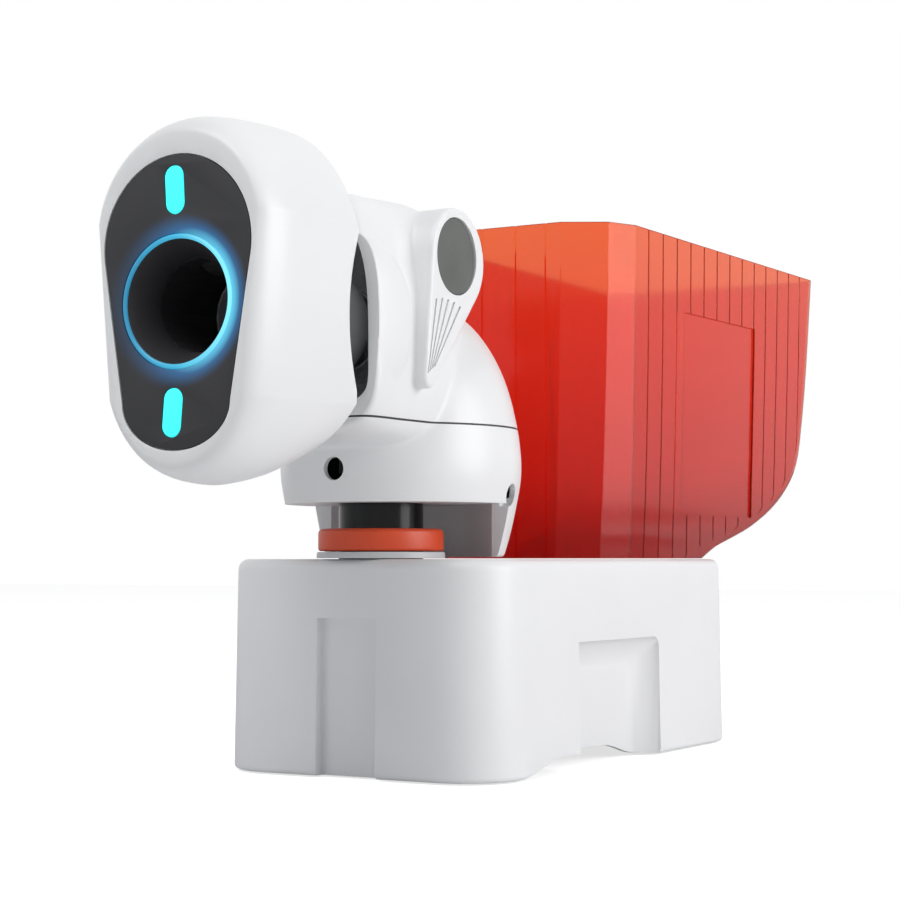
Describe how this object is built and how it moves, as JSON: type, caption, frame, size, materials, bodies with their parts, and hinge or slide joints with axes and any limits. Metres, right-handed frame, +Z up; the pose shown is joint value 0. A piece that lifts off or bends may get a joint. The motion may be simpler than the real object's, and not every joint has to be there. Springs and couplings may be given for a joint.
{
  "type": "table tennis robot",
  "caption": "Ball-throwing trainer: white base, swivelling turret, tilting oval head with glowing mouth ring, and a translucent amber ball hopper behind.",
  "frame": {"origin": "centre of the bounding box at floor level", "axes": "+X to the robot's side, the mouth looks along -Y, +Z up"},
  "size_m": [0.1702, 0.6234, 0.3203],
  "materials": {
    "white_gloss": "smooth gloss",
    "pale_plastic": "satin",
    "black_gloss": "smooth gloss",
    "charcoal": "satin",
    "black_rubber": "matte",
    "disc_grey": "fine texture",
    "ring_orange": "smooth",
    "hopper_amber": "translucent, ribbed",
    "led_cyan": "lit",
    "motor_steel": "plain",
    "board_green": "solder mask",
    "rocker_red": "smooth"
  },
  "bodies": {
    "base": {"base_shell": "white_gloss", "base_plate": "charcoal", "foot_1": "black_rubber", "foot_2": "black_rubber", "foot_3": "black_rubber", "foot_4": "black_rubber", "feed_tray": "pale_plastic", "feed_motor": "motor_steel", "ball_chute": "charcoal", "chute_inlet": "charcoal", "chute_outlet": "charcoal", "swivel_collar": "pale_plastic", "swivel_ring": "ring_orange", "control_board": "board_green", "power_inlet": "charcoal", "switch_frame": "charcoal"},
    "hopper": {"hopper": "hopper_amber"},
    "feed_wheel": {"feed_wheel": "ring_orange"},
    "rocker": {"switch_rocker": "rocker_red"},
    "turret": {"neck_tube": "black_gloss", "ball_elbow": "pale_plastic", "lower_body_shell": "white_gloss", "seam_trim": "charcoal", "upper_body_shell": "white_gloss", "ear_disc_right": "disc_grey", "ear_disc_left": "disc_grey", "yaw_servo": "charcoal", "tilt_servo": "charcoal"},
    "tilt_drum": {"tilt_drum": "pale_plastic"},
    "head": {"head_shell": "white_gloss", "face_panel": "charcoal", "led_upper": "led_cyan", "led_lower": "led_cyan", "light_ring": "led_cyan", "mouth_funnel": "charcoal", "ball_guide": "pale_plastic", "throw_motor_upper": "motor_steel", "throw_motor_lower": "motor_steel"},
    "throw_wheel_upper": {"throw_hub_upper": "pale_plastic", "throw_tyre_upper": "black_rubber"},
    "throw_wheel_lower": {"throw_hub_lower": "pale_plastic", "throw_tyre_lower": "black_rubber"}
  },
  "joints": [
    {"name": "hopper_lift", "type": "slide", "parent": "base", "child": "hopper", "axis": [0, 0, 1], "range_m": [0, 0.15]},
    {"name": "feed_wheel_spin", "type": "hinge", "parent": "base", "child": "feed_wheel", "pos_m": [0, 0.0619, 0.1082], "axis": [0, 0, 1], "continuous": true},
    {"name": "power_switch", "type": "hinge", "parent": "base", "child": "rocker", "pos_m": [0.0336, 0.12967, 0.0448], "axis": [1, 0, 0], "range_deg": [-6, 6]},
    {"name": "turret_yaw", "type": "hinge", "parent": "base", "child": "turret", "pos_m": [0, -0.1352, 0.112], "axis": [0, 0, 1], "range_deg": [-30, 30]},
    {"name": "head_tilt", "type": "hinge", "parent": "turret", "child": "tilt_drum", "pos_m": [0, -0.2035, 0.229], "axis": [1, 0, 0], "range_deg": [-14, 14]},
    {"name": "head_roll", "type": "hinge", "parent": "tilt_drum", "child": "head", "pos_m": [0, -0.2505, 0.229], "axis": [0, 1, 0], "range_deg": [-90, 90]},
    {"name": "throw_upper_spin", "type": "hinge", "parent": "head", "child": "throw_wheel_upper", "pos_m": [0, -0.2696, 0.2689], "axis": [1, 0, 0], "continuous": true},
    {"name": "throw_lower_spin", "type": "hinge", "parent": "head", "child": "throw_wheel_lower", "pos_m": [0, -0.2696, 0.1891], "axis": [1, 0, 0], "continuous": true}
  ]
}
